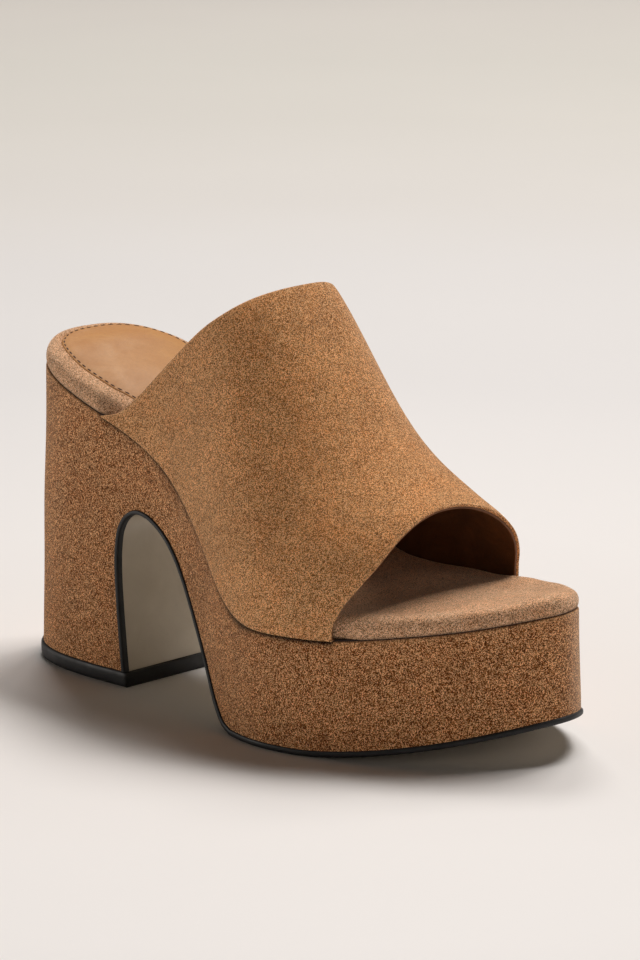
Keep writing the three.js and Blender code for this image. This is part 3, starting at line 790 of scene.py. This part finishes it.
def build_sock():
    xs = stations(X0, SOCK_END, 220, True, False)

    def on_top(ex, ey):
        """Height of the unpressed footbed under a place."""
        z = seam_z(ex) + GAP + 1.02 * bed_height(ex)
        for i in range(len(z)):
            hit = BED_TOP[0].ray_cast(Vector((ex[i], ey[i], 200.0)), Vector((0, 0, -1)))[0]
            if hit is not None:
                z[i] = hit.z
        return z

    def ring_side(side, inset):
        return edge(side, xs, -(inset + bed_inset(side, xs)))

    prof = [(SOCK_IN + 0.6, -0.6), (SOCK_IN + 0.05, -0.35), (SOCK_IN, 0.02), (SOCK_IN + 0.08, 0.22), (SOCK_IN + 0.35, 0.32), (SOCK_IN + 0.8, 0.30),
            (SOCK_IN + 1.3, 0.36), (SOCK_IN + 2.0, 0.42), (SOCK_IN + 3.0, 0.46)]
    lat, med = [], []
    for inset, h in prof:
        for side, store in (("lat", lat), ("med", med)):
            ex, ey = ring_side(side, inset)
            store.append(np.stack([ex, ey, on_top(ex, ey) + h], -1))
    top = []
    for f in np.arange(1, 30) / 30:
        ex = lat[-1][:, 0] + (med[-1][:, 0] - lat[-1][:, 0]) * f
        ey = lat[-1][:, 1] + (med[-1][:, 1] - lat[-1][:, 1]) * f
        # soft dimples where the heel and the arch bear
        dip = 0.35 * np.exp(-((ex + 30) / 16) ** 2 - (ey / 15) ** 2)
        wave = 0.22 * np.sin(ex * 0.13 + 0.7) * np.sin(ey * 0.12 + 0.3) * np.exp(-((ex + 20) / 40) ** 2)
        top.append(np.stack([ex, ey, on_top(ex, ey) + 0.48 - dip + wave], -1))
    ob = ring_loft("sock_leather", np.stack(lat + top + med[::-1], 1))
    co = coords(ob)
    inner = np.full(len(co), 99.0)
    for side in ("lat", "med"):
        ex, ey = ring_side(side, SOCK_IN)
        path = np.stack([ex, ey], 1)[::2]
        for k in range(0, len(co), 4000):
            dd = np.linalg.norm(co[k:k + 4000, None, :2] - path[None], axis=2).min(1)
            inner[k:k + 4000] = np.minimum(inner[k:k + 4000], dd)
    set_attr(ob, "edge", np.exp(-inner / 0.5))
    sharp(ob, 70)
    ob.data.materials.append(m_sock)

    # dashes just inside the sock's edge
    off = SOCK_IN + 0.85
    xs_f = stations(X0, SOCK_END - 2, 900, True, False)
    path = []
    for side, sl in (("lat", slice(None, None, -1)), ("med", slice(None))):
        ex, ey = edge(side, xs_f, -(off + bed_inset(side, xs_f)))
        path.append(np.stack([ex, ey, on_top(ex, ey) + 0.36], -1)[sl])
    path = np.concatenate(path)
    seg = np.concatenate([[0], np.cumsum(np.linalg.norm(np.diff(path, axis=0), axis=1))])

    def at(s):
        return np.array([np.interp(s, seg, path[:, c]) for c in range(3)])

    pitch, dash, rad = 3.3, 2.3, 0.27
    verts, faces = [], []
    s = 1.0
    while s + dash < seg[-1]:
        pts = [at(s + dash * k / 6) for k in range(7)]
        base = len(verts)
        for k, p in enumerate(pts):
            tn = at(s + dash * min(k + 0.5, 6) / 6) - at(s + dash * max(k - 0.5, 0) / 6)
            tn /= np.linalg.norm(tn)
            sd = np.cross(tn, [0, 0, 1])
            sd /= np.linalg.norm(sd)
            up = np.cross(sd, tn)
            r = rad * math.sqrt(max(1 - ((k - 3) / 3.15) ** 2, 0.03))
            sink = -0.14 * ((k - 3) / 3) ** 2
            for j in range(8):
                a = 2 * math.pi * j / 8
                verts.append(p + up * (sink + r * 0.8 * math.sin(a)) + sd * r * math.cos(a))
        for k in range(6):
            for j in range(8):
                faces.append([base + k * 8 + j, base + k * 8 + (j + 1) % 8, base + (k + 1) * 8 + (j + 1) % 8, base + (k + 1) * 8 + j])
        faces.append([base + j for j in range(8)][::-1])
        faces.append([base + 48 + j for j in range(8)])
        s += pitch
    st = mesh_object("sock_stitches", world(np.array(verts)), faces)
    st.data.materials.append(m_thread)
    return ob, st


def build_groove_shadow():
    """Painted shadow: a dark strip set in the groove between footbed and unit, where there is only shade."""
    n = 700
    p = resample(fine, n, True)
    d = np.roll(p, -1, 0) - np.roll(p, 1, 0)
    d /= np.linalg.norm(d, axis=1)[:, None]
    nn = np.stack([d[:, 1], -d[:, 0]], 1)
    if (nn * (p - p.mean(0))).sum() < 0:
        nn = -nn
    rows = []
    for out, dz in ((-0.62, -0.30), (-0.62, 0.62), (-3.2, 0.62), (-3.2, -0.30)):
        q = p + nn * out
        rows.append(np.concatenate([q, (seam_z(q[:, 0]) + dz)[:, None]], 1))
    R = np.stack(rows, 1)
    R = np.concatenate([R, R[:1]])
    ob = ring_loft("groove_shadow_strip", R, caps=False)
    sharp(ob, 40)
    ob.data.materials.append(m_groove_shadow)
    return ob


# ------------------------------------------------------------------ vamp
def vamp_grid(nt, nu, t0=0.0, t1=1.0):
    ts = np.linspace(t0, t1, nt)
    uf = (1 - np.cos(np.pi * np.linspace(0, 1, 1201))) / 2
    uf = 0.5 * uf + 0.5 * np.linspace(0, 1, 1201)
    G = np.empty((nt, nu, 3))
    for i, t in enumerate(ts):
        row = vamp_point(np.full_like(uf, t), uf)
        G[i] = resample(row, nu)
    # soften the steps that the tables leave along and across
    for i in range(nt):
        G[i] = gauss(G[i], nu / 130)
    H = G.reshape(nt, -1)
    H = np.stack([gauss(H[:, c], nt / 60) for c in range(H.shape[1])], 1)
    return ts, H.reshape(nt, nu, 3)


def grid_normals(G):
    a = np.gradient(G, axis=1)
    b = np.gradient(G, axis=0)
    n = np.cross(a, b)
    n /= np.linalg.norm(n, axis=2)[..., None]
    c = G.mean((0, 1)) - np.array([0, 0, 25.0])
    if (n * (G - c)).sum() < 0:
        n = -n
    return n


def dent(T, U, t, u, st, su, amp):
    return amp * np.exp(-((T - t) / st) ** 2 - ((U - u) / su) ** 2)


def slab(name, O, I, bulge, rows=5):
    """Closed sheet between two grids with half-round rims; bulge = (front, back, lateral foot, medial foot)."""
    nt, nu = O.shape[:2]
    idx = np.arange(nt * nu).reshape(nt, nu)
    q = lambda a: np.stack([a[:-1, :-1], a[:-1, 1:], a[1:, 1:], a[1:, :-1]], -1).reshape(-1, 4)
    faces = q(idx).tolist() + q(idx + nt * nu)[:, ::-1].tolist()
    verts = [O.reshape(-1, 3), I.reshape(-1, 3)]
    loop = ([(0, j) for j in range(nu)] + [(i, nu - 1) for i in range(1, nt)] + [(nt - 1, j) for j in range(nu - 2, -1, -1)]
            + [(i, 0) for i in range(nt - 2, 0, -1)])
    kinds = [0] * nu + [3] * (nt - 1) + [1] * (nu - 1) + [2] * (nt - 2)
    inside = {0: lambda i, j: (i + 1, j), 1: lambda i, j: (i - 1, j), 2: lambda i, j: (i, j + 1), 3: lambda i, j: (i, j - 1)}
    L = len(loop)
    bo = np.array([O[i, j] for i, j in loop])
    bi = np.array([I[i, j] for i, j in loop])
    ins = np.array([O[inside[k](i, j)] for (i, j), k in zip(loop, kinds)])
    tl = np.roll(bo, -1, 0) - np.roll(bo, 1, 0)
    tl /= np.linalg.norm(tl, axis=1)[:, None]
    thick = bo - bi
    e = np.cross(tl, thick)
    e /= np.linalg.norm(e, axis=1)[:, None]
    s = np.sign((e * (bo - ins)).sum(1))
    e *= s[:, None]
    amt = np.array([bulge[k] for k in kinds])
    amt = gauss(amt, 3, True)
    e = gauss(e, 2, True)
    off = nt * nu * 2
    prev = [int(idx[i, j]) for i, j in loop]
    mid, hf = (bo + bi) / 2, (bo - bi) / 2
    hl = np.linalg.norm(hf, axis=1)
    for r in range(1, rows + 1):
        a = math.pi * r / (rows + 1)
        verts.append(mid + hf * math.cos(a) + e * (hl * amt * math.sin(a))[:, None])
        cur = list(range(off, off + L))
        faces += [[prev[k], cur[k], cur[(k + 1) % L], prev[(k + 1) % L]] for k in range(L)]
        prev = cur
        off += L
    last = [int(idx[i, j]) + nt * nu for i, j in loop]
    faces += [[prev[k], last[k], last[(k + 1) % L], prev[(k + 1) % L]] for k in range(L)]
    return mesh_object(name, world(np.concatenate(verts)), faces), np.concatenate(verts)


def build_vamp():
    nt, nu = ((172, 252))
    ts, G = vamp_grid(nt, nu)
    N = grid_normals(G)
    U = np.linspace(0, 1, nu)[None, :] * np.ones((nt, 1))
    T = ts[:, None] * np.ones((1, nu))
    disp = np.zeros((nt, nu))
    # softness: shallow hollow over the lateral waist, fullness over the ball, slack behind the opening
    disp += dent(T, U, 0.62, 0.26, 0.20, 0.12, -1.1)
    disp += dent(T, U, 0.25, 0.24, 0.16, 0.13, 0.7)
    disp += dent(T, U, 0.60, 0.76, 0.22, 0.12, -0.9)
    disp += dent(T, U, 0.22, 0.72, 0.15, 0.12, 0.5)
    disp += dent(T, U, 0.12, 0.52, 0.07, 0.16, -0.45)
    disp += dent(T, U, 0.88, 0.44, 0.08, 0.10, 0.35)
    disp += 0.20 * np.sin(T * 17 + U * 5 + 0.5) * np.sin(U * 13 + 0.8) * np.sin(np.pi * U)
    # edges: toe opening rolls in slightly, collar eases in
    disp += -0.45 * np.exp(-T / 0.022) - 0.35 * np.exp(-(1 - T) / 0.02)
    disp *= np.sin(np.pi * np.clip(U, 0, 1)) ** 0.5
    O = G + N * disp[..., None]
    flat_n = N.copy()
    for j in (0, nu - 1):
        flat_n[:, j, 0] = 0
        flat_n[:, j, 2] = 0
    k = smooth(0, 0.03, np.minimum(U, 1 - U))[..., None]
    NN = N * k + flat_n * (1 - k)
    NN /= np.linalg.norm(NN, axis=2)[..., None]
    suede_t, total = 1.25, WALL
    outer, _ = slab("vamp_suede", O, O - NN * suede_t, (0.9, 0.9, 0.15, 0.15), 6)
    co = coords(outer)
    # distance to the free edges for the pale fuzzy rim, partly a painted highlight
    loop = np.concatenate([O[0], O[-1]])
    loop2 = np.concatenate([O[:, 0], O[:, -1]])
    dist = np.empty(len(co))
    for a in range(0, len(co), 3000):
        c = co[a:a + 3000, None, :]
        dist[a:a + 3000] = np.minimum(np.linalg.norm(c - loop[None, ::2], axis=2).min(1), 0.6 + np.linalg.norm(c - loop2[None, ::2], axis=2).min(1))
    bottom = np.minimum(np.linalg.norm(co[:, None, :] - O[None, ::3, 0], axis=2).min(1), np.linalg.norm(co[:, None, :] - O[None, ::3, -1], axis=2).min(1))
    set_attr(outer, "edge", np.exp(-dist / 0.6) * smooth(0.1, 0.9, bottom))
    set_attr(outer, "nap", 1 - smooth(0.2, 0.6, normals(outer)[:, 2]))
    # painted shade along the vamp's bottom edge
    set_attr(outer, "painted_shade", np.clip(0.25 * np.exp(-np.maximum(bottom - 0.2, 0) / 0.35), 0, 0.9))
    outer.data.materials.append(m_vamp)
    # lining, a touch shorter than the suede
    sl_t, sl_u = ((100, 140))
    sel_t = np.linspace(0, nt - 1, sl_t)
    sel_u = np.linspace(0, nu - 1, sl_u)

    def pick(A):
        i0 = np.clip(np.floor(sel_t).astype(int), 0, nt - 2)
        ft = (sel_t - i0)[:, None, None]
        B = A[i0] * (1 - ft) + A[i0 + 1] * ft
        j0 = np.clip(np.floor(sel_u).astype(int), 0, nu - 2)
        fu = (sel_u - j0)[None, :, None]
        return B[:, j0] * (1 - fu) + B[:, j0 + 1] * fu

    P, Q = pick(O), pick(NN)
    Q /= np.linalg.norm(Q, axis=2)[..., None]
    lining, _ = slab("vamp_lining", P - Q * (suede_t - 0.02), P - Q * total, (0.7, 0.7, 0.05, 0.05), 4)
    lining.data.materials.append(m_lining_painted_shade)
    return outer, lining


# ------------------------------------------------------------------ make the pieces
unit = build_unit()
outsole, under = build_outsole()
lift = build_lift()
bed = build_bed()
sock, stitches = build_sock()
seam = build_groove_shadow()
vamp, lining = build_vamp()

for piece, node, slot in ((unit, "platform_heel", "suede_wrap"), (outsole, "outsole", "outsole_rubber"), (lift, "top_lift", "heel_tip_rubber"),
                          (bed, "footbed", "suede_footbed"), (vamp, "upper", "suede_upper")):
    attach(piece, "root")
    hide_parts(node)
for piece, slot in ((under, "outsole_rubber"), (sock, "suede_footbed"), (stitches, "suede_footbed"), (seam, "suede_footbed"), (lining, "suede_upper")):
    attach(piece, "root")

# ------------------------------------------------------------------ floor and backdrop
def build_floor():
    """Pale paper sweep: a flat disc that turns up into a round wall."""
    seg, flat, turn = 128, 2.7, 1.0
    prof = [(0.3, 0.0), (0.9, 0.0), (1.8, 0.0), (flat, 0.0)]
    prof += [(flat + turn * math.sin(a), turn * (1 - math.cos(a))) for a in np.linspace(0, math.pi / 2, 16)[1:]]
    prof.append((flat + turn, 2.4))
    verts, faces = [(0.0, 0.0, 0.0)], []
    for r, z in prof:
        verts += [(r * math.cos(2 * math.pi * k / seg), r * math.sin(2 * math.pi * k / seg), z) for k in range(seg)]
    faces += [(0, 1 + k, 1 + (k + 1) % seg) for k in range(seg)]
    for i in range(len(prof) - 1):
        o = 1 + i * seg
        faces += [(o + k, o + seg + k, o + seg + (k + 1) % seg, o + (k + 1) % seg) for k in range(seg)]
    me = bpy.data.meshes.new("floor")
    me.from_pydata(verts, [], faces)
    for p in me.polygons:
        p.use_smooth = True
    ob = bpy.data.objects.new("floor", me)
    bpy.context.scene.collection.objects.link(ob)
    M = Mat("floor_paper")
    sep = M.node("ShaderNodeSeparateXYZ")
    M.link(M.v, sep.inputs[0])
    r = M.math("SQRT", M.math("ADD", M.math("MULTIPLY", sep.outputs[0], sep.outputs[0]), M.math("MULTIPLY", sep.outputs[1], sep.outputs[1])))
    col = M.ramp(M.math("DIVIDE", r, 4000.0), [(d / 4.0, c) for d, c in FLOOR_PAINTED_FALLOFF])
    tone = M.noise(0.004, 2.0, 0.5)
    col = M.mix(1.0, col, M.ramp(tone, [(0.3, 0.985), (0.7, 1.0)]), "MULTIPLY")
    # painted light: the paper is brighter towards the camera's side
    near = M.ramp(M.math("ADD", M.math("DIVIDE", sep.outputs[1], 1000.0), 0.5), [(0.0, 1.19), (0.25, 1.17), (0.34, 1.12), (0.44, 1.02), (0.60, 1.02), (0.95, 1.04)])
    col = M.mix(1.0, col, near, "MULTIPLY")
    M.put(Base_Color=col, Roughness=0.85, Specular_IOR_Level=0.2)
    ob.data.materials.append(M.m)
    return ob


# painted light falloff on the paper: its brightness by distance from the shoe (m), shaping the backdrop's gradient
FLOOR_PAINTED_FALLOFF = [(0.0, (0.775, 0.742, 0.718)), (0.25, (0.745, 0.718, 0.702)), (0.53, (0.640, 0.620, 0.612)), (0.85, (0.602, 0.582, 0.570)),
              (1.05, (0.580, 0.555, 0.530)), (1.39, (0.567, 0.543, 0.507)), (1.7, (0.577, 0.554, 0.514)), (2.02, (0.620, 0.589, 0.550)),
              (2.35, (0.63, 0.60, 0.56)), (2.9, (0.50, 0.475, 0.44)), (4.0, (0.46, 0.44, 0.41))]


# photographic camera: position in the shoe's frame, level line, pitch down, turned so that the shoe is in the middle
CAM_AT = Vector((0.96221, -0.93737, 0.40137))
CAM_YAW, CAM_PITCH, CAM_LENS = math.radians(132.0 + 3.32), math.radians(13.5), 150
AZ = CAM_YAW - math.radians(90)
floor = build_floor()
floor.rotation_euler = (0, 0, AZ)

# ------------------------------------------------------------------ camera and light
cam_data = bpy.data.cameras.new("camera")
cam = bpy.data.objects.new("camera", cam_data)
bpy.context.scene.collection.objects.link(cam)
bpy.context.scene.camera = cam
look = Vector((math.cos(CAM_YAW) * math.cos(CAM_PITCH), math.sin(CAM_YAW) * math.cos(CAM_PITCH), -math.sin(CAM_PITCH)))
cam.location = CAM_AT
cam.rotation_mode = "QUATERNION"
cam.rotation_quaternion = look.to_track_quat("-Z", "Y")
cam_data.lens = CAM_LENS
cam_data.sensor_width = 36
cam_data.clip_start, cam_data.clip_end = 0.05, 30


def area(name, az, el, dist, size, power, color, aim=(0, 0, 0.06)):
    d = bpy.data.lights.new(name, "AREA")
    d.shape, d.size, d.energy, d.color = "SQUARE", size, power, color
    o = bpy.data.objects.new(name, d)
    a, e = math.radians(az), math.radians(el)
    b = Vector((math.sin(a) * math.cos(e), -math.cos(a) * math.cos(e), math.sin(e)))
    o.location = Vector(aim) + b * dist
    o.rotation_mode = "QUATERNION"
    o.rotation_quaternion = (-b).to_track_quat("-Z", "Y")
    bpy.context.scene.collection.objects.link(o)
    return o


cam_az = math.degrees(AZ)
area("key_a", cam_az + 124, 64, 3.2, 0.85, 46.0, (1.0, 0.975, 0.95))
area("key_b", cam_az + 150, 61, 3.2, 0.85, 42.0, (1.0, 0.975, 0.95))
area("key_c", cam_az + 184, 56, 3.2, 0.85, 35.0, (1.0, 0.975, 0.95))
fills = [area("fill_left", cam_az - 94, 14, 2.0, 0.7, 10.5, (1.0, 0.96, 0.91)),
         area("fill_right", cam_az + 78, 13, 2.0, 0.7, 1.1, (1.0, 0.96, 0.91))]
# the fills are flagged off the floor, so the shadow beside the sole stays deep
flagged = bpy.data.collections.new("flagged")
flagged.objects.link(floor)
flagged.collection_objects[0].light_linking.link_state = "EXCLUDE"
for f in fills:
    f.light_linking.receiver_collection = flagged

world_data = bpy.data.worlds.new("studio")
bpy.context.scene.world = world_data
world_data.use_nodes = True
bg = world_data.node_tree.nodes["Background"]
bg.inputs["Color"].default_value = (1.0, 0.96, 0.91, 1)
bg.inputs["Strength"].default_value = 0.01
bpy.context.scene.view_settings.view_transform = "Standard"
bpy.context.scene.cycles.denoising_prefilter = "NONE"
